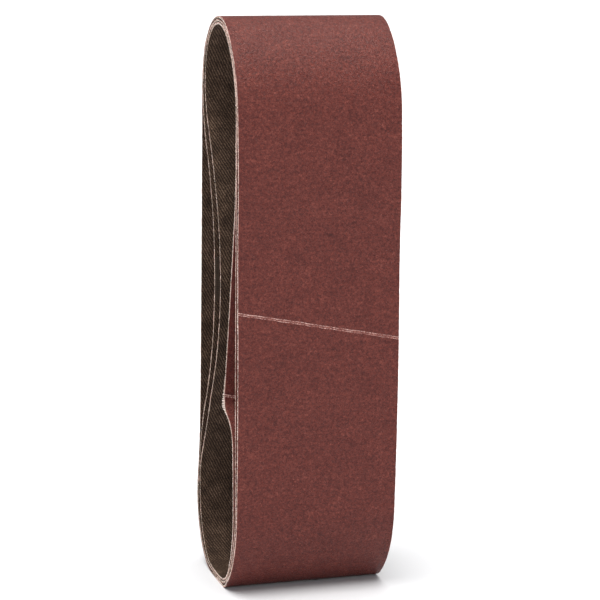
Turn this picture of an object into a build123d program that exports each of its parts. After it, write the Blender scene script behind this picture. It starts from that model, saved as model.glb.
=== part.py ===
from build123d import *
from math import cos, radians, sin
import os

import numpy as np

# Three cloth sanding belts for a hand-held belt sander, nested in one another and standing on end.
# X runs across the belts, Y from the front run to the back run and Z up. The origin is on the floor,
# in the middle of the outer belt. All sizes are in millimetres.

BELT_WIDTH = 75.0
HALF_WIDTH = BELT_WIDTH / 2
BELT_LENGTH = 610.0  # round the middle of the belt's thickness

CLOTH_THICKNESS = 0.60
BOND_THICKNESS = 0.10
GRAIN_THICKNESS = 0.30
BELT_THICKNESS = CLOTH_THICKNESS + BOND_THICKNESS + GRAIN_THICKNESS

# How far each layer's faces lie outside the middle of the belt.
CLOTH_INSIDE = -BELT_THICKNESS / 2
CLOTH_OUTSIDE = CLOTH_INSIDE + CLOTH_THICKNESS
BOND_OUTSIDE = CLOTH_OUTSIDE + BOND_THICKNESS
GRAIN_OUTSIDE = BOND_OUTSIDE + GRAIN_THICKNESS

# The belt's two ends meet in a skewed butt joint, backed by a tape. The coats are ground away beside
# the joint, and a filler of resin takes their place.
SPLICE_SKEW = 11.0  # degrees from straight across the belt
BUTT_GAP = 0.30
FILLER_WIDTH = 1.50
FILLER_RECESS = 0.05  # the filler stays this far below the grain
TAPE_WIDTH = 20.0
TAPE_THICKNESS = 0.10
FILLER_OUTSIDE = GRAIN_OUTSIDE - FILLER_RECESS
TAPE_INSIDE = CLOTH_INSIDE - TAPE_THICKNESS
SPLICE_CUT_LENGTH = 2 * BELT_WIDTH  # longer than the skewed joint
SPLICE_CUT_DEPTH = 5.0  # to each side of the belt, short of its other run
TAPE_REACH = 9.0  # how far a tape on a bend carries on past the bend

# A span of a belt with no length of its own: it takes what closes the loop at the belt's length.
FREE = None

# Each outline starts at the bottom of the loop, where the belt runs level towards the back, and goes
# up the back run, over the top and down the front run. A span is (length, turn in degrees), and a
# positive turn bends inwards. "start" is the first point (Y, Z), and "splice" is how far round the
# loop the joint is.
BELTS = {
    "outer_belt": {
        "start": (2.0, BELT_THICKNESS / 2),
        "spans": [
            (FREE, 0), (10.4, 21), (13.5, 30), (32.6, 54), (42.0, -11), (FREE, -1), (13.4, 19),
            (40.9, 74), (11.9, 31), (41.9, 50), (47.3, 7), (34.7, -4), (FREE, 5), (43.0, 50),
            (7.4, 35), (9.2, 0),
        ],
        "splice": 462.0,
    },
    "middle_belt": {
        "start": (-2.7, 1.7),
        "spans": [
            (FREE, 4), (11.4, 32), (35.9, 66), (21.4, 5), (25.9, 17), (FREE, -62), (27.6, 29),
            (11.8, 18), (9.1, 16), (24.7, 47), (21.3, 48), (20.3, 26), (24.6, 28), (FREE, -2),
            (90.3, -1), (40.1, 40), (13.6, 40), (4.7, 9),
        ],
        "splice": 187.0,
    },
    "inner_belt": {
        "start": (-1.0, 3.0),
        "spans": [
            (18.6, 7), (4.0, 27), (22.8, 40), (20.2, 26), (11.6, 22), (FREE, -3), (30.5, -18),
            (49.2, -30), (FREE, -11), (29.9, 50), (26.3, 59), (22.2, 52), (42.2, 54), (12.8, -4),
            (32.1, 12), (FREE, 2), (13.0, -85), (7.4, 31), (10.0, 39), (29.2, 0), (32.5, 36),
            (13.0, 43), (7.3, 11),
        ],
        "splice": 506.5,
    },
}


def chord_per_length(heading, turn):
    """Move (along Y, along Z) for each millimetre of a span that starts at heading, in radians."""
    shortening = np.sinc(turn / (2 * np.pi))
    return shortening * cos(heading + turn / 2), shortening * sin(heading + turn / 2)


def close_loop(spans):
    """The spans as (length, turn in radians), with the three free lengths solved."""
    turns = [radians(turn) for _, turn in spans]
    headings = np.cumsum([0] + turns[:-1])
    moves = [(*chord_per_length(heading, turn), 1.0) for heading, turn in zip(headings, turns)]
    fixed = sum(np.multiply(move, length) for move, (length, _) in zip(moves, spans) if length)
    free_moves = [move for move, (length, _) in zip(moves, spans) if length is FREE]
    free_lengths = iter(np.linalg.solve(np.transpose(free_moves), [0, 0, BELT_LENGTH] - fixed))
    lengths = [float(next(free_lengths)) if length is FREE else length for length, _ in spans]
    return list(zip(lengths, turns))


def outline(belt, outwards):
    """One closed chain of tangent arcs, a distance outwards of the belt's middle."""
    point = Vector(belt["start"][0], belt["start"][1] - outwards)
    heading = 0.0
    for length, turn in close_loop(belt["spans"]):
        direction = (cos(heading), sin(heading))
        if turn == 0:
            span = PolarLine(point, length, direction=direction)
        else:
            radius = length / abs(turn) + (outwards if turn > 0 else -outwards)
            span = JernArc(point, direction, radius, np.degrees(turn))
        point = span @ 1
        heading += turn


def point_and_heading(belt, distance):
    """Where the middle of the belt is, and which way it runs, this far round the loop."""
    y, z = belt["start"]
    heading = 0.0
    for length, turn in close_loop(belt["spans"]):
        part = min(distance, length) / length
        move_y, move_z = chord_per_length(heading, turn * part)
        y += move_y * length * part
        z += move_z * length * part
        heading += turn * part
        distance -= length
        if distance <= 0:
            break
    return Vector(0, y, z), heading


def splice_plane(belt):
    """A plane on the belt at its joint: its x runs along the joint, and its z points outwards."""
    half_chord = 8.0
    before, _ = point_and_heading(belt, belt["splice"] - half_chord)
    after, _ = point_and_heading(belt, belt["splice"] + half_chord)
    middle, _ = point_and_heading(belt, belt["splice"])
    along = (after - before).normalized()
    across = Vector(1, 0, 0) * cos(radians(SPLICE_SKEW)) + along * sin(radians(SPLICE_SKEW))
    return Plane(origin=middle, x_dir=across, z_dir=Vector(1, 0, 0).cross(along) * -1)


def ring_profile(belt, inside, outside):
    """The section of a loop between two distances from the belt's middle."""
    with BuildSketch(Plane.YZ) as profile:
        with BuildLine():
            outline(belt, outside)
        make_face()
        with BuildLine():
            outline(belt, inside)
        make_face(mode=Mode.SUBTRACT)
    return profile.sketch


def splice_profile(belt, width):
    """A strip along the joint, wide enough to reach past both edges of the belt."""
    with BuildSketch(splice_plane(belt)) as profile:
        Rectangle(SPLICE_CUT_LENGTH, width)
    return profile.sketch


def save(part, name):
    part.label = name
    export_step(part, f"parts/{name}.step")


os.makedirs("parts", exist_ok=True)

for belt_name, belt in BELTS.items():
    butt_gap = splice_profile(belt, BUTT_GAP)
    ground_strip = splice_profile(belt, FILLER_WIDTH)
    tape_strip = splice_profile(belt, TAPE_WIDTH)

    # The cloth strip, bent round until its ends almost touch.
    with BuildPart() as cloth:
        extrude(ring_profile(belt, CLOTH_INSIDE, CLOTH_OUTSIDE), amount=HALF_WIDTH, both=True)
        extrude(butt_gap, amount=SPLICE_CUT_DEPTH, both=True, mode=Mode.SUBTRACT)
    save(cloth.part, f"{belt_name}_cloth")

    # The resin that holds the grain to the cloth.
    with BuildPart() as bond_coat:
        extrude(ring_profile(belt, CLOTH_OUTSIDE, BOND_OUTSIDE), amount=HALF_WIDTH, both=True)
        extrude(ground_strip, amount=SPLICE_CUT_DEPTH, both=True, mode=Mode.SUBTRACT)
    save(bond_coat.part, f"{belt_name}_bond_coat")

    # The abrasive grain with its top coat of resin, on the outside of the loop.
    with BuildPart() as grain_coat:
        extrude(ring_profile(belt, BOND_OUTSIDE, GRAIN_OUTSIDE), amount=HALF_WIDTH, both=True)
        extrude(ground_strip, amount=SPLICE_CUT_DEPTH, both=True, mode=Mode.SUBTRACT)
    save(grain_coat.part, f"{belt_name}_grain_coat")

    # The glue between the two ends of the cloth.
    with BuildPart() as butt_glue:
        extrude(ring_profile(belt, CLOTH_INSIDE, CLOTH_OUTSIDE), amount=HALF_WIDTH, both=True)
        extrude(butt_gap, amount=SPLICE_CUT_DEPTH, both=True, mode=Mode.INTERSECT)
    save(butt_glue.part, f"{belt_name}_butt_glue")

    # The resin that fills the ground strip across the coats.
    with BuildPart() as splice_filler:
        extrude(ring_profile(belt, CLOTH_OUTSIDE, FILLER_OUTSIDE), amount=HALF_WIDTH, both=True)
        extrude(ground_strip, amount=SPLICE_CUT_DEPTH, both=True, mode=Mode.INTERSECT)
    save(splice_filler.part, f"{belt_name}_splice_filler")

    # The film tape that backs the joint, on the cloth side.
    with BuildPart() as splice_tape:
        extrude(ring_profile(belt, TAPE_INSIDE, CLOTH_INSIDE), amount=HALF_WIDTH, both=True)
        extrude(tape_strip, amount=TAPE_REACH, both=True, mode=Mode.INTERSECT)
    save(splice_tape.part, f"{belt_name}_splice_tape")
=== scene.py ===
from math import cos, pi, radians, sin, tan

import bpy
import numpy as np
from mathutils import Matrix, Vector


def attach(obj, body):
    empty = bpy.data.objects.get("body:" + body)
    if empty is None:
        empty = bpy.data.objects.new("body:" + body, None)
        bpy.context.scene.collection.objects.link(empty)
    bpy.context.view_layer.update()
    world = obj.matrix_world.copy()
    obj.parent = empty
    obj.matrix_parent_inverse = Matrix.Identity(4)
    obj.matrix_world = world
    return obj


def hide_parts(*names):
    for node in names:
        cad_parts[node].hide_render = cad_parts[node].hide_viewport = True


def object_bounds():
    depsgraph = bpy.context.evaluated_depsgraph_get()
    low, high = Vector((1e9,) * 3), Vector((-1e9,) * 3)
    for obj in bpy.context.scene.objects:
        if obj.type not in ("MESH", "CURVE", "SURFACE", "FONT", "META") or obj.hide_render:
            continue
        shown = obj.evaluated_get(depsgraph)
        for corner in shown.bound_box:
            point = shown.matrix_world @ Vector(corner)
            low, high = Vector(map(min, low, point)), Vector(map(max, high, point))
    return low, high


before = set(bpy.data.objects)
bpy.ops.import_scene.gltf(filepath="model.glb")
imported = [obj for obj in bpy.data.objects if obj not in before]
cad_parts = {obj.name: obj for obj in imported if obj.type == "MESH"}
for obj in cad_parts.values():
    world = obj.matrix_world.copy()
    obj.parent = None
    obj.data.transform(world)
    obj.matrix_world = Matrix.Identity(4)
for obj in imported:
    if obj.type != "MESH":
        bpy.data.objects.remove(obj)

CAD_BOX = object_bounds()

# Every piece is first shaped on its belt laid flat, in millimetres: x across the belt, s along it and
# out from the middle of its thickness. Then it is wrapped round the belt's loop, in metres.
MM = 0.001
HALF_WIDTH = 37.5
BELT_LENGTH = 610.0
CLOTH_INSIDE = -0.50
CLOTH_OUTSIDE = 0.10
BOND_OUTSIDE = 0.20
GRAIN_OUTSIDE = 0.50
FILLER_OUTSIDE = 0.45
TAPE_INSIDE = -0.60
SPLICE_SKEW = radians(11)
BUTT_GAP = 0.30
FILLER_WIDTH = 1.50
TAPE_WIDTH = 20.0
UNSKEW = 40.0  # over this length beside the joint, the mesh's rows turn from skewed to straight
YARN_PITCH = 0.66  # between the yarns that run across the belt
WARP_PITCH = 0.33  # between the yarns that run along it
TWILL_ACROSS = 4 * WARP_PITCH  # a twill line comes back after four yarns each way
TWILL_ALONG = 4 * YARN_PITCH
COARSE_GRAINS = 9000  # on each belt
LOOSE_FIBRES = 120  # on each belt
FIRST_SEED = 11  # of the outer belt's random numbers

# The loops: the start (Y, Z) at the bottom, heading level to the back, and spans of (length, turn in
# degrees). The free lengths close the loop at the belt's length. The splice is the joint's place.
# "pale" says how pale the yarns' cut ends are, from 0 up, on the back run and on the front run, and
# "frayed" how far the yarns beside the joint stick out, in millimetres. "pale" is partly the ends' own
# colour and partly painted light and shade: painted shade darkens the back runs, painted light brightens
# the front runs.
FREE = None
BELTS = {
    "outer_belt": {
        "start": (2.0, 0.5),
        "spans": [
            (FREE, 0), (10.4, 21), (13.5, 30), (32.6, 54), (42.0, -11), (FREE, -1), (13.4, 19),
            (40.9, 74), (11.9, 31), (41.9, 50), (47.3, 7), (34.7, -4), (FREE, 5), (43.0, 50),
            (7.4, 35), (9.2, 0),
        ],
        "splice": 462.0,
        # the outer belt's back run carries painted shade, which leaves its yarn ends nearly dark
        "pale": (0.05, 1.10),
        "frayed": 0.2,
    },
    "middle_belt": {
        "start": (-2.7, 1.7),
        "spans": [
            (FREE, 4), (11.4, 32), (35.9, 66), (21.4, 5), (25.9, 17), (FREE, -62), (27.6, 29),
            (11.8, 18), (9.1, 16), (24.7, 47), (21.3, 48), (20.3, 26), (24.6, 28), (FREE, -2),
            (90.3, -1), (40.1, 40), (13.6, 40), (4.7, 9),
        ],
        "splice": 187.0,
        "pale": (0.70, 0.85),
        "frayed": 0.2,
    },
    "inner_belt": {
        "start": (-1.0, 3.0),
        "spans": [
            (18.6, 7), (4.0, 27), (22.8, 40), (20.2, 26), (11.6, 22), (FREE, -3), (30.5, -18),
            (49.2, -30), (FREE, -11), (29.9, 50), (26.3, 59), (22.2, 52), (42.2, 54), (12.8, -4),
            (32.1, 12), (FREE, 2), (13.0, -85), (7.4, 31), (10.0, 39), (29.2, 0), (32.5, 36),
            (13.0, 43), (7.3, 11),
        ],
        "splice": 506.5,
        "pale": (0.70, 1.05),
        "frayed": 1.4,
    },
}


def moves_per_length(heading, turn):
    """Moves (along Y, along Z) for each millimetre of spans that start at heading."""
    shortening = np.sinc(turn / (2 * pi))
    return shortening * np.cos(heading + turn / 2), shortening * np.sin(heading + turn / 2)


def trace(belt):
    """The belt's spans with where each starts, round the loop and in space."""
    turns = np.radians([turn for _, turn in belt["spans"]])
    headings = np.concatenate([[0], np.cumsum(turns)[:-1]])
    moves = np.array([*moves_per_length(headings, turns), np.ones(len(turns))])
    free = np.array([length is FREE for length, _ in belt["spans"]])
    lengths = np.array([length or 0.0 for length, _ in belt["spans"]])
    lengths[free] = np.linalg.solve(moves[:, free], [0, 0, BELT_LENGTH] - moves @ lengths)
    ends = np.cumsum(moves * lengths, axis=1)
    starts = np.hstack([np.zeros((3, 1)), ends[:, :-1]])
    starts[:2] += np.reshape(belt["start"], (2, 1))
    return {
        "starts": starts, "headings": headings, "turns": turns, "lengths": lengths,
        "splice": belt["splice"],
    }


def wrap(loop, x, s, out):
    """Points in metres, wrapped round the loop, for arrays of places on the flat belt."""
    x, s, out = np.broadcast_arrays(x, np.mod(s, BELT_LENGTH), out)
    span = np.clip(np.searchsorted(loop["starts"][2], s, side="right") - 1, 0, None)
    done = s - loop["starts"][2][span]
    turn = loop["turns"][span] * done / loop["lengths"][span]
    move_y, move_z = moves_per_length(loop["headings"][span], turn)
    heading = loop["headings"][span] + turn
    y = loop["starts"][0][span] + move_y * done + out * np.sin(heading)
    z = loop["starts"][1][span] + move_z * done - out * np.cos(heading)
    return np.stack([x, y, z], axis=-1) * MM


def from_joint(loop, x, u):
    """How far round the loop a row is, when it is u from the joint and skewed as the joint is."""
    near = np.clip(np.minimum(np.abs(u), BELT_LENGTH - u) / UNSKEW, 0, 1)
    skewed = 1 - near * near * (3 - 2 * near)
    return loop["splice"] + u + x * tan(SPLICE_SKEW) * skewed


# ---------------------------------------------------------------------------------------- meshes

SHARP_FROM = radians(40)  # corners this sharp stay crisp under smooth shading


def make_mesh(name, loop, flat, faces, material, pale=None):
    """A smooth mesh from places on the flat belt.

    Its material reads the places back as "strip", and how pale each one is as "pale"."""
    mesh = bpy.data.meshes.new(name)
    points = wrap(loop, flat[:, 0], flat[:, 1], flat[:, 2])
    mesh.from_pydata(points.tolist(), [], faces)
    strip = mesh.attributes.new("strip", "FLOAT_VECTOR", "POINT")
    strip.data.foreach_set("vector", np.asarray(flat, np.float32).ravel())
    if pale is not None:
        shade = mesh.attributes.new("pale", "FLOAT", "POINT")
        shade.data.foreach_set("value", np.asarray(pale, np.float32).ravel())
    mesh.shade_smooth()
    mesh.materials.append(material)
    piece = bpy.data.objects.new(name, mesh)
    bpy.context.scene.collection.objects.link(piece)
    return piece


def quads(ids):
    """Quads between the neighbours in a grid of vertex numbers."""
    a, b = ids[:-1, :-1], ids[1:, :-1]
    c, d = ids[1:, 1:], ids[:-1, 1:]
    return np.stack([a, b, c, d], axis=-1).reshape(-1, 4).tolist()


def shell(name, loop, x, s, inside, outside, material, pale=None):
    """A closed layer between two faces, from grids whose rows follow one another along the belt."""
    shape = np.broadcast(x, s, inside, outside).shape
    faces_of = [np.stack(np.broadcast_arrays(x, s, out), axis=-1) for out in (outside, inside)]
    flat = np.concatenate([np.broadcast_to(face, (*shape, 3)).reshape(-1, 3) for face in faces_of])
    top = np.arange(shape[0] * shape[1]).reshape(shape)
    bottom = top + top.size
    faces = quads(top) + quads(bottom[:, ::-1])
    onwards, backwards = slice(None), slice(None, None, -1)
    for edge in ((0, backwards), (-1, onwards), (onwards, 0), (backwards, -1)):
        faces += quads(np.stack([top[edge], bottom[edge]]))
    both_faces = None if pale is None else np.concatenate([pale.ravel(), pale.ravel()])
    piece = make_mesh(name, loop, flat, faces, material, both_faces)
    piece.data.set_sharp_from_angle(angle=SHARP_FROM)
    return piece


def ragged(rng, count, size):
    """Small uneven steps in and out, as along a cut edge."""
    rough = rng.normal(0, 1, count)
    slow = np.convolve(rng.normal(0, 1, count + 8), np.ones(9) / 3, mode="valid")
    return size * (0.6 * rough + 0.4 * slow)


def layer(name, loop, rng, inside, outside, start, step, columns, rough, edge, material):
    """One layer of the belt, whose rows begin and end this far from the joint, a step apart.

    Its cut edges are uneven by edge, and its outer face by rough."""
    rows = int(BELT_LENGTH / step)
    u = np.linspace(start, BELT_LENGTH - start, rows)[:, None]
    x = np.linspace(-HALF_WIDTH, HALF_WIDTH, columns)[None, :].repeat(rows, axis=0)
    x[:, 0] -= ragged(rng, rows, edge)
    x[:, -1] += ragged(rng, rows, edge)
    s = from_joint(loop, x, u)
    height = outside + np.clip(rng.normal(0, rough, x.shape), -2 * rough, 2 * rough)
    return shell(name, loop, x, s, inside, height, material)


def seam(name, loop, width, inside, outside, material, rows, columns=90, pale=None):
    """A strip that covers the joint, as wide as width, from one edge of the belt to the other."""
    reach = width / 2 / cos(SPLICE_SKEW)
    u = np.linspace(-reach, reach, rows)[:, None]
    x = np.linspace(-HALF_WIDTH, HALF_WIDTH, columns)[None, :]
    s = loop["splice"] + u + x * tan(SPLICE_SKEW)
    return shell(name, loop, x, s, inside, outside, material, pale)


def tubes(name, loop, centres, radii, material, shades, sides=6):
    """Tapered tubes across the belt, with a shade for each.

    The rings' centres, (tubes, rings, 3), are places on the flat belt, and the rings, with radii
    (tubes, rings), lie along it and through its thickness."""
    count, rings = radii.shape
    angle = np.arange(sides) * 2 * pi / sides
    ring = np.stack([np.zeros(sides), np.cos(angle), np.sin(angle)], axis=-1)
    points = centres[:, :, None, :] + radii[:, :, None, None] * ring
    ids = np.arange(count * rings * sides).reshape(count, rings, sides)
    around = np.concatenate([ids, ids[:, :, :1]], axis=2)
    a, b = around[:, :-1, :-1], around[:, 1:, :-1]
    c, d = around[:, 1:, 1:], around[:, :-1, 1:]
    faces = np.stack([a, b, c, d], axis=-1).reshape(-1, 4).tolist()
    faces += ids[:, 0, ::-1].tolist() + ids[:, -1].tolist()
    return make_mesh(name, loop, points.reshape(-1, 3), faces, material, shades.repeat(rings * sides))


def paleness_and_painted_light(s, back, front):
    """How pale the cut edge is, painted light and shade included: one value up the back run, and one
    down the front run.
    """
    turn = 12.0  # the length over which it changes, at the top and bottom of the loop
    down = np.clip((s - BELT_LENGTH / 2) / turn + 0.5, 0, 1)
    up = np.clip(np.minimum(s, BELT_LENGTH - s) / turn, 0, 1)
    return front + (back - front) * (1 - down) * up


def edge_yarns(name, loop, rng, pales_and_painted_light, frayed, material):
    """The cut ends of the yarns that run across the belt, a row of frayed stubs along each edge.

    The press that made the joint spread the yarns beside it, by up to the frayed length. The edge at
    -X is the paler one."""
    along = np.array([-0.25, 0.35, 0.8, 1.0])  # where a stub's rings are, as shares of its length
    taper = np.array([1.0, 1.08, 0.85, 0.35])
    sets = []
    for side, share in ((-1, 1.0), (1, 0.45)):
        s = np.arange(0, BELT_LENGTH, YARN_PITCH)
        # the ends' paleness carries painted shade on the back run and painted light on the front run
        pale = paleness_and_painted_light(s, *pales_and_painted_light) * share
        past_joint = s - loop["splice"] - side * HALF_WIDTH * tan(SPLICE_SKEW)
        reach = TAPE_WIDTH / 2
        spread = np.interp(past_joint, (-reach, 0, reach / 2, reach), (0, 0.5, 1, 0))
        length = rng.uniform(0.03, 0.20, s.size) * (0.30 + 0.70 * pale)
        length += frayed * spread * pale * rng.uniform(0.7, 1.0, s.size)
        s = s + rng.normal(0, 0.06, s.size)
        lean = rng.normal(0, 0.10, (s.size, 2))
        x = side * (HALF_WIDTH + along * length[:, None])
        bend = np.clip(along, 0, 1) ** 2
        out = np.clip(-0.20 + 0.06 * lean[:, 1:] * bend, -0.26, -0.14)
        place = np.stack([x, s[:, None] + lean[:, :1] * bend, out], axis=-1)
        shade = np.clip(pale + 0.15 * spread * frayed + rng.normal(0, 0.20, s.size), 0, 1.3)
        sets.append((place, rng.uniform(0.17, 0.25, s.size), shade))
    centres, widths, shades = (np.concatenate(part) for part in zip(*sets))
    return tubes(name, loop, centres, widths[:, None] * taper, material, shades)


def loose_fibres(name, loop, rng, count, material):
    """Single fibres that hang out of the cut edges, as thin curled tubes."""
    side = rng.choice([-1, 1], count)
    steps = np.linspace(0, 1, 6)
    reach = rng.uniform(0.3, 0.8, (count, 1))
    curl = rng.uniform(-1, 1, (count, 1)) * rng.uniform(0.4, 1.4, (count, 1))
    x = side[:, None] * (HALF_WIDTH - 0.1 + reach * np.sin(steps * rng.uniform(1.2, 2.6, (count, 1))))
    s = rng.uniform(0, BELT_LENGTH, (count, 1)) + curl * steps ** 1.5
    out = -0.2 + rng.uniform(-0.22, 0.22, (count, 1)) * steps
    centres = np.stack([x, s, out], axis=-1)
    radii = np.broadcast_to(rng.uniform(0.020, 0.035, (count, 1)), (count, 6)) * np.linspace(1, 0.6, 6)
    return tubes(name, loop, centres, radii, material, rng.uniform(0.5, 1.1, count), sides=4)


def coarse_grains(name, loop, rng, count, material):
    """The larger grains that stand proud of the coat, each an uneven eight-sided chip."""
    sunk = 0.03  # their middles lie this far under the coat's face
    proudest = 0.11  # and their tips stand at most this far above it
    x = rng.uniform(-HALF_WIDTH + 0.2, HALF_WIDTH - 0.2, count)
    u = rng.uniform(FILLER_WIDTH, BELT_LENGTH - FILLER_WIDTH, count)
    centre = np.stack([x, from_joint(loop, x, u), np.full(count, GRAIN_OUTSIDE - sunk)], axis=-1)
    size = rng.uniform(0.10, 0.24, (count, 1, 1)) * rng.uniform(0.6, 1.3, (count, 6, 1))
    corners = np.array([[1, 0, 0], [0, 1, 0], [-1, 0, 0], [0, -1, 0], [0, 0, 1], [0, 0, -1]], float)
    twist = rng.uniform(0, 2 * pi, count)
    turned = np.stack([
        corners[:, 0] * np.cos(twist)[:, None] - corners[:, 1] * np.sin(twist)[:, None],
        corners[:, 0] * np.sin(twist)[:, None] + corners[:, 1] * np.cos(twist)[:, None],
        np.broadcast_to(corners[:, 2], (count, 6)) * 0.5,
    ], axis=-1)
    points = centre[:, None, :] + turned * size + rng.normal(0, 0.015, (count, 6, 3))
    points[..., 2] = np.minimum(points[..., 2], GRAIN_OUTSIDE + proudest)
    sides = [(0, 1, 4), (1, 2, 4), (2, 3, 4), (3, 0, 4), (1, 0, 5), (2, 1, 5), (3, 2, 5), (0, 3, 5)]
    # the flat belt seen from outside is mirrored, so each face is turned over
    faces = (np.arange(count)[:, None, None] * 6 + np.array(sides)[:, ::-1]).reshape(-1, 3).tolist()
    piece = make_mesh(name, loop, points.reshape(-1, 3), faces, material)
    piece.data.shade_flat()
    return piece


# ------------------------------------------------------------------------------------- materials

def linear(red, green, blue):
    """A colour from its usual 0 to 255 values."""
    parts = [part / 255 for part in (red, green, blue)]
    return (*[p / 12.92 if p <= 0.04045 else ((p + 0.055) / 1.055) ** 2.4 for p in parts], 1.0)


class Finish:
    """A procedural material, built node by node."""

    def __init__(self, name, **sockets):
        self.material = bpy.data.materials.new(name)
        self.material.use_nodes = True
        self.tree = self.material.node_tree
        self.shader = self.tree.nodes["Principled BSDF"]
        self.set(self.shader, **sockets)
        place = self.tree.nodes.new("ShaderNodeAttribute")
        place.attribute_name = "strip"
        self.place = place.outputs["Vector"]
        split = self.node("ShaderNodeSeparateXYZ", Vector=self.place)
        self.x, self.s, _ = split.outputs

    def put(self, socket, value):
        """Links the socket to another one, or gives it a plain value."""
        if isinstance(value, bpy.types.NodeSocket):
            self.tree.links.new(value, socket)
        else:
            socket.default_value = value

    def set(self, node, **sockets):
        """Puts values into the node's sockets by name, with _ for each space."""
        for name, value in sockets.items():
            self.put(node.inputs[name.replace("_", " ")], value)

    def node(self, kind, settings=None, **sockets):
        """A new node with these settings and values."""
        node = self.tree.nodes.new(kind)
        for name, value in (settings or {}).items():
            setattr(node, name, value)
        self.set(node, **sockets)
        return node

    def math(self, operation, *values):
        """The result of one step of arithmetic."""
        node = self.node("ShaderNodeMath", {"operation": operation})
        for socket, value in zip(node.inputs, values):
            self.put(socket, value)
        return node.outputs[0]

    def stretched(self, across, along):
        """The place on the belt, with its patterns finer by these factors."""
        node = self.node("ShaderNodeVectorMath", {"operation": "MULTIPLY"})
        self.put(node.inputs[0], self.place)
        self.put(node.inputs[1], (across, along, across))
        return node.outputs[0]

    def noise(self, scale, detail=2.0, roughness=0.5, vector=None):
        """Noise from 0 to 1 with scale patches to the millimetre."""
        node = self.node(
            "ShaderNodeTexNoise", Vector=vector or self.place, Scale=scale, Detail=detail,
            Roughness=roughness)
        return node.outputs[0]

    def cells(self, scale):
        """Cells about 1 / scale millimetres wide: the distance from each one's middle, and its tint."""
        node = self.node("ShaderNodeTexVoronoi", Vector=self.place, Scale=scale)
        split = self.node("ShaderNodeSeparateColor", Color=node.outputs["Color"])
        return node.outputs["Distance"], split.outputs[0]

    def remap(self, value, low, high, to_low=0.0, to_high=1.0):
        """The value, moved from one range to another and kept within it."""
        node = self.node("ShaderNodeMapRange", Value=value)
        for socket, number in zip(list(node.inputs)[1:5], (low, high, to_low, to_high)):
            self.put(socket, number)
        return node.outputs[0]

    def ramp(self, value, *stops):
        """Colours between stops of (value, (red, green, blue))."""
        node = self.node("ShaderNodeValToRGB", Fac=value)
        ramp = node.color_ramp
        while len(ramp.elements) < len(stops):
            ramp.elements.new(0.5)
        for element, (position, colour) in zip(ramp.elements, stops):
            element.position = position
            element.color = linear(*colour)
        return node.outputs[0]

    def mix(self, amount, first, second):
        """The first colour with this amount of the second."""
        node = self.node("ShaderNodeMix", {"data_type": "RGBA"})
        colours = [socket for socket in node.inputs if socket.type == "RGBA"]
        for socket, value in zip((node.inputs[0], *colours), (amount, first, second)):
            self.put(socket, value)
        return next(socket for socket in node.outputs if socket.type == "RGBA")

    def finish(self, colour, height=None, depth=0.0, roughness=None):
        """Connects the colour, a bump of this depth in millimetres, and the roughness."""
        self.put(self.shader.inputs["Base Color"], colour)
        if height is not None:
            bump = self.node("ShaderNodeBump", Strength=1.0, Distance=depth * MM, Height=height)
            self.put(self.shader.inputs["Normal"], bump.outputs[0])
        if roughness is not None:
            self.put(self.shader.inputs["Roughness"], roughness)
        return self.material


def abrasive(name, colours, gloss, edge_chips=True):
    """Red-brown aluminium oxide grain in resin, mottled, with pale chips where the edge was cut."""
    f = Finish(name, Specular_IOR_Level=gloss)
    distance, tint = f.cells(2.4)
    fine_distance, fine_tint = f.cells(5.5)
    cloud = f.noise(0.07, 3.0)
    mottle = f.noise(0.75, 3.0, 0.65)
    streaks = f.noise(0.5, 2.0, vector=f.stretched(0.10, 1.4))
    _, clump = f.cells(1.35)
    shade = f.math("ADD", f.math("MULTIPLY", tint, 0.26), f.math("MULTIPLY", fine_tint, 0.10))
    shade = f.math("ADD", shade, f.math("MULTIPLY", clump, 0.26))
    shade = f.math("ADD", shade, f.remap(cloud, 0.3, 0.7, 0.08, 0.15))
    shade = f.math("ADD", shade, f.remap(mottle, 0.25, 0.75, -0.06, 0.30))
    shade = f.math("ADD", shade, f.remap(streaks, 0.3, 0.7, 0.0, 0.08))
    darkest, dark, light, lightest = colours
    colour = f.ramp(shade, (0.05, darkest), (0.40, dark), (0.75, light), (1.0, lightest))
    if edge_chips:
        from_edge = f.math("SUBTRACT", HALF_WIDTH, f.math("ABSOLUTE", f.x))
        torn = f.math("ADD", f.noise(2.2, 3.0), f.math("MULTIPLY", from_edge, -4.0))
        colour = f.mix(f.remap(torn, 0.15, 0.40), colour, linear(214, 172, 160))
    lump = f.math("ADD", f.math("MULTIPLY", distance, 0.8), f.math("MULTIPLY", fine_distance, 0.4))
    lump = f.math("ADD", lump, f.math("MULTIPLY", f.noise(1.25, 2.0, 0.6), 1.4))
    rough = f.remap(f.noise(1.7, 1.0), 0.35, 0.65, 0.22, 0.66)
    return f.finish(colour, lump, 0.17, rough)


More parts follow.
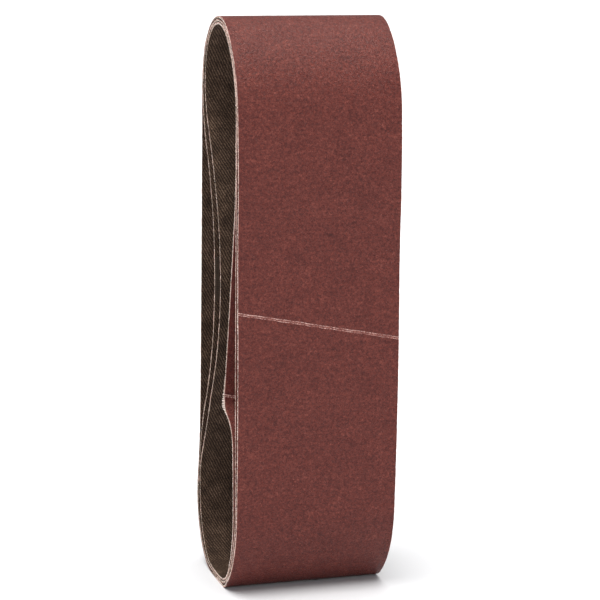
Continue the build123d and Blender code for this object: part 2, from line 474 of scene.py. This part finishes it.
def twill(name):
    """Resin-filled brown twill cloth: diagonal ribs, made of the yarns that run along the belt."""
    f = Finish(name, Specular_IOR_Level=0.12)
    wobble = f.remap(f.noise(0.7, 3.0), 0.0, 1.0, -0.34, 0.34)
    phase = f.math("ADD", f.math("DIVIDE", f.x, TWILL_ACROSS), f.math("DIVIDE", f.s, TWILL_ALONG))
    across_rib = f.math("FRACT", f.math("ADD", phase, wobble))
    centred = f.math("MULTIPLY_ADD", across_rib, 2.0, -1.0)
    rib = f.math("SUBTRACT", 1.0, f.math("MULTIPLY", centred, centred))
    yarn = f.math("PINGPONG", f.math("DIVIDE", f.x, WARP_PITCH), 0.5)
    pick = f.math("PINGPONG", f.math("DIVIDE", f.s, YARN_PITCH), 0.5)
    height = f.math("ADD", f.math("MULTIPLY", rib, 0.46), f.math("MULTIPLY", yarn, 0.35))
    height = f.math("ADD", height, f.math("MULTIPLY", pick, 0.16))
    fibre = f.noise(6.0, 3.0, vector=f.stretched(2.2, 0.5))
    height = f.math("ADD", height, f.math("MULTIPLY", fibre, 0.25))
    slubs = f.remap(f.noise(1.6, 2.0, 0.6), 0.25, 0.75, -0.06, 0.36)
    height = f.math("ADD", height, slubs)
    patches = f.noise(0.16, 3.0)
    shade = f.math("ADD", height, f.remap(patches, 0.3, 0.7, -0.09, 0.10))
    colour = f.ramp(
        shade, (0.25, (15, 9, 6)), (0.62, (44, 32, 25)), (0.92, (84, 66, 54)), (1.0, (116, 95, 80)))
    from_edge = f.math("SUBTRACT", HALF_WIDTH, f.math("ABSOLUTE", f.x))
    frayed = f.math("ADD", f.noise(1.8, 3.0), f.math("MULTIPLY", from_edge, -3.0))
    colour = f.mix(f.remap(frayed, 0.35, 0.60), colour, linear(150, 130, 114))
    return f.finish(colour, height, 0.20, f.remap(fibre, 0.2, 0.8, 0.62, 0.9))


def raw_yarn(name):
    """Fibres at the cut edge: soaked brown, raw beige, or pale and a little pink from the coat, darkened
    by painted shade and brightened by painted light through their paleness.
    """
    f = Finish(name, Specular_IOR_Level=0.25, Sheen_Weight=0.2, Sheen_Roughness=0.5)
    # the paleness read here carries painted shade and painted light as well as the fibres' own colour
    pale = f.node("ShaderNodeAttribute", {"attribute_name": "pale"}).outputs["Fac"]
    strands = f.noise(9.0, 3.0, vector=f.stretched(0.35, 1.5))
    soiled = f.noise(0.35, 3.0)
    grey = f.math("ADD", f.remap(strands, 0.3, 0.7, -0.22, 0.12), f.remap(soiled, 0.3, 0.7, -0.14, 0.10))
    colour = f.ramp(
        f.math("ADD", pale, grey), (0.05, (50, 42, 35)), (0.35, (108, 94, 82)), (0.62, (168, 152, 136)),
        (0.85, (224, 208, 192)), (1.0, (246, 228, 220)))
    return f.finish(colour, strands, 0.05, f.remap(strands, 0.2, 0.8, 0.7, 0.95))


def resin(name, dark, light, roughness=0.4):
    """Hard resin with drawn streaks and small bubbles."""
    f = Finish(name, Specular_IOR_Level=0.5, Coat_Weight=0.15)
    streaks = f.noise(2.0, 3.0, vector=f.stretched(1.0, 0.2))
    bubbles, _ = f.cells(3.0)
    colour = f.ramp(streaks, (0.3, dark), (0.7, light))
    return f.finish(colour, bubbles, 0.05, f.remap(streaks, 0.3, 0.7, roughness, roughness + 0.25))


def splice_fill(name):
    """The filled joint: brown like the coat in its middle, with pale broken lines at its sides."""
    f = Finish(name, Specular_IOR_Level=0.3)
    pale = f.node("ShaderNodeAttribute", {"attribute_name": "pale"}).outputs["Fac"]
    _, tint = f.cells(2.8)
    crumbs = f.noise(2.2, 3.0, 0.65)
    ground = f.ramp(tint, (0.0, (74, 30, 27)), (0.6, (108, 54, 48)), (1.0, (150, 96, 86)))
    amount = f.remap(f.math("ADD", pale, f.remap(crumbs, 0.3, 0.7, -0.45, 0.45)), 0.20, 0.75)
    light = f.ramp(crumbs, (0.35, (196, 146, 136)), (0.65, (240, 206, 196)))
    colour = f.mix(amount, ground, light)
    return f.finish(colour, f.math("ADD", crumbs, pale), 0.08, f.remap(crumbs, 0.3, 0.7, 0.6, 0.85))


def film_tape(name):
    """Thin amber film with fine reinforcing threads both ways, pressed on to the cloth."""
    f = Finish(name, Specular_IOR_Level=0.25)
    threads = f.math("PINGPONG", f.math("DIVIDE", f.s, 0.9), 0.5)
    cross = f.math("PINGPONG", f.math("DIVIDE", f.x, 1.1), 0.5)
    net = f.math("MAXIMUM", f.remap(threads, 0.38, 0.5), f.remap(cross, 0.40, 0.5))
    shade = f.math("ADD", f.math("MULTIPLY", net, 0.45), f.math("MULTIPLY", f.noise(0.8, 3.0), 0.55))
    colour = f.ramp(shade, (0.15, (40, 30, 23)), (0.5, (58, 45, 35)), (0.9, (88, 71, 57)))
    return f.finish(colour, net, 0.05, f.remap(shade, 0.2, 0.8, 0.50, 0.70))


GRAIN = abrasive(
    "red_brown_grain", ((47, 12, 10), (73, 26, 22), (100, 45, 38), (132, 70, 59)), 0.24)
LOOSE_GRAIN = abrasive(
    "proud_grain", ((58, 18, 16), (84, 34, 29), (112, 54, 46), (140, 78, 68)), 0.6, edge_chips=False)
CLOTH = twill("brown_twill")
YARN = raw_yarn("raw_yarn_ends")
BOND = resin("bond_resin", (78, 36, 30), (118, 64, 52))
GLUE = resin("joint_glue", (120, 84, 52), (168, 128, 90))
FILLER = splice_fill("filled_joint")
TAPE = film_tape("backing_film")


# --------------------------------------------------------------------------------------- pieces

def joint_lines(rng, rows, columns):
    """How pale each point of the filled joint is: two wandering lines that fade and come back."""
    place = np.linspace(-1, 1, rows)[:, None]  # from one side of the filler to the other
    t = np.linspace(0, 1, columns)  # from one edge of the belt to the other
    line_place, line_width = 0.60, 0.22

    def waves(turns, low, high):
        return sum(rng.uniform(low, high) * np.sin(2 * pi * (t * turn + rng.random())) for turn in turns)

    pale = np.zeros((rows, columns))
    for side, strength in ((-1, 0.85), (1, 0.62)):
        line = side * line_place + waves((2, 5, 11), 0.06, 0.14)
        fade = np.interp(t, (0, 0.2, 0.6, 1), (1.0, 0.80, 0.7, 0.65))
        weight = strength * fade * np.clip(0.80 + waves((3, 7, 13), 0.14, 0.28), 0.1, 1)
        pale = np.maximum(pale, weight * np.exp(-(((place - line) / line_width) ** 2)))
    return pale


def build_belt(name, belt, seed):
    """Every piece of one belt, each on its CAD node's body and in its place."""
    loop = trace(belt)
    rng = np.random.default_rng(seed)

    def keep(piece, node=None):
        """Puts the piece on the belt's body and in place of its CAD node."""
        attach(piece, name)
        if node:
            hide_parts(f"{name}_{node}")

    skewed = cos(SPLICE_SKEW)
    cloth_start = BUTT_GAP / 2 / skewed
    coat_start = FILLER_WIDTH / 2 / skewed
    cloth = layer(
        f"{name}_twill_cloth", loop, rng, CLOTH_INSIDE, CLOTH_OUTSIDE, cloth_start,
        step=1.0, columns=24, rough=0.0, edge=0.05, material=CLOTH)
    keep(cloth, "cloth")
    bond = layer(
        f"{name}_bond_layer", loop, rng, CLOTH_OUTSIDE, BOND_OUTSIDE, coat_start,
        step=1.0, columns=16, rough=0.0, edge=0.04, material=BOND)
    keep(bond, "bond_coat")
    grain = layer(
        f"{name}_grain_layer", loop, rng, BOND_OUTSIDE, GRAIN_OUTSIDE, coat_start,
        step=1.1, columns=70, rough=0.016, edge=0.09, material=GRAIN)
    keep(grain, "grain_coat")
    chips = coarse_grains(f"{name}_coarse_grains", loop, rng, COARSE_GRAINS, LOOSE_GRAIN)
    keep(chips)
    yarns = edge_yarns(f"{name}_edge_yarns", loop, rng, belt["pale"], belt["frayed"], YARN)
    keep(yarns)
    fibres = loose_fibres(f"{name}_loose_fibres", loop, rng, LOOSE_FIBRES, YARN)
    keep(fibres)
    glue = seam(f"{name}_joint_glue", loop, BUTT_GAP, CLOTH_INSIDE, CLOTH_OUTSIDE, GLUE, rows=3)
    keep(glue, "butt_glue")
    rows, columns = 13, 360
    pale = joint_lines(rng, rows, columns)
    hollow, ridge, crumbs = 0.04, 0.10, 0.008  # the face sinks, but stands up in the pale lines
    top = FILLER_OUTSIDE - hollow + ridge * pale + rng.normal(0, crumbs, pale.shape)
    filler = seam(
        f"{name}_joint_filler", loop, FILLER_WIDTH, CLOTH_OUTSIDE, top, FILLER, rows, columns, pale)
    keep(filler, "splice_filler")
    tape = seam(f"{name}_joint_tape", loop, TAPE_WIDTH, TAPE_INSIDE, CLOTH_INSIDE, TAPE, rows=21)
    keep(tape, "splice_tape")


for seed, (belt_name, belt) in enumerate(BELTS.items(), start=FIRST_SEED):
    build_belt(belt_name, belt, seed)


# -------------------------------------------------------------------------------- floor and light

def stage_floor():
    """A wide pale floor, level with the bottom of the outer belt."""
    half = 60.0  # wide enough to fill the view up to its top
    z = CAD_BOX[0].z
    corners = [(-half, -half, z), (half, -half, z), (half, half, z), (-half, half, z)]
    mesh = bpy.data.meshes.new("studio_floor")
    mesh.from_pydata(corners, [], [(0, 1, 2, 3)])
    paint = bpy.data.materials.new("studio_floor")
    paint.use_nodes = True
    shader = paint.node_tree.nodes["Principled BSDF"]
    shader.inputs["Base Color"].default_value = (0.68, 0.69, 0.72, 1)
    shader.inputs["Roughness"].default_value = 0.9
    shader.inputs["Specular IOR Level"].default_value = 0.1
    mesh.materials.append(paint)
    floor = bpy.data.objects.new("studio_floor", mesh)
    bpy.context.scene.collection.objects.link(floor)


def softbox(name, place, aim, size, power):
    """A square area light at a place, turned to the aim."""
    light = bpy.data.lights.new(name, "AREA")
    light.size = size
    light.energy = power
    lamp = bpy.data.objects.new(name, light)
    lamp.location = place
    lamp.rotation_euler = (Vector(aim) - Vector(place)).to_track_quat("-Z", "Y").to_euler()
    bpy.context.scene.collection.objects.link(lamp)


def light_studio():
    """An even pale sky, a broad soft light from overhead and a weak one from in front."""
    world = bpy.data.worlds.new("studio")
    world.use_nodes = True
    sky = world.node_tree.nodes["Background"]
    sky.inputs["Color"].default_value = (1, 1, 1, 1)
    sky.inputs["Strength"].default_value = 0.36
    bpy.context.scene.world = world
    overhead = bpy.data.lights.new("overhead_light", "SUN")
    overhead.angle = radians(60)
    overhead.energy = 5.3
    overhead.color = (1.0, 0.98, 0.94)
    lamp = bpy.data.objects.new("overhead_light", overhead)
    lamp.rotation_euler = (radians(8), radians(-6), 0)
    bpy.context.scene.collection.objects.link(lamp)
    softbox("front_softbox", (-0.5, -1.6, 0.5), (0, 0, 0.10), 1.0, 7)
    bpy.context.scene.view_settings.view_transform = "Standard"


CAMERA_TURN = radians(16.19)  # to the side of straight in front
CAMERA_RISE = radians(9.48)  # above level
CAMERA_DISTANCE = 0.9075
CAMERA_AIM = Vector((-0.0028, -0.0181, 0.1356))
CAMERA_LENS = 119.5  # in millimetres, as is the sensor
CAMERA_SENSOR = 36.0


def place_camera():
    """The camera that frames the standing belts from in front and a little to their left."""
    data = bpy.data.cameras.new("camera")
    data.lens = CAMERA_LENS
    data.sensor_width = CAMERA_SENSOR
    forward = Vector((
        sin(CAMERA_TURN) * cos(CAMERA_RISE), cos(CAMERA_TURN) * cos(CAMERA_RISE), -sin(CAMERA_RISE)))
    camera = bpy.data.objects.new("camera", data)
    camera.location = CAMERA_AIM - forward * CAMERA_DISTANCE
    camera.rotation_euler = forward.to_track_quat("-Z", "Y").to_euler()
    bpy.context.scene.collection.objects.link(camera)
    bpy.context.scene.camera = camera


stage_floor()
light_studio()
place_camera()
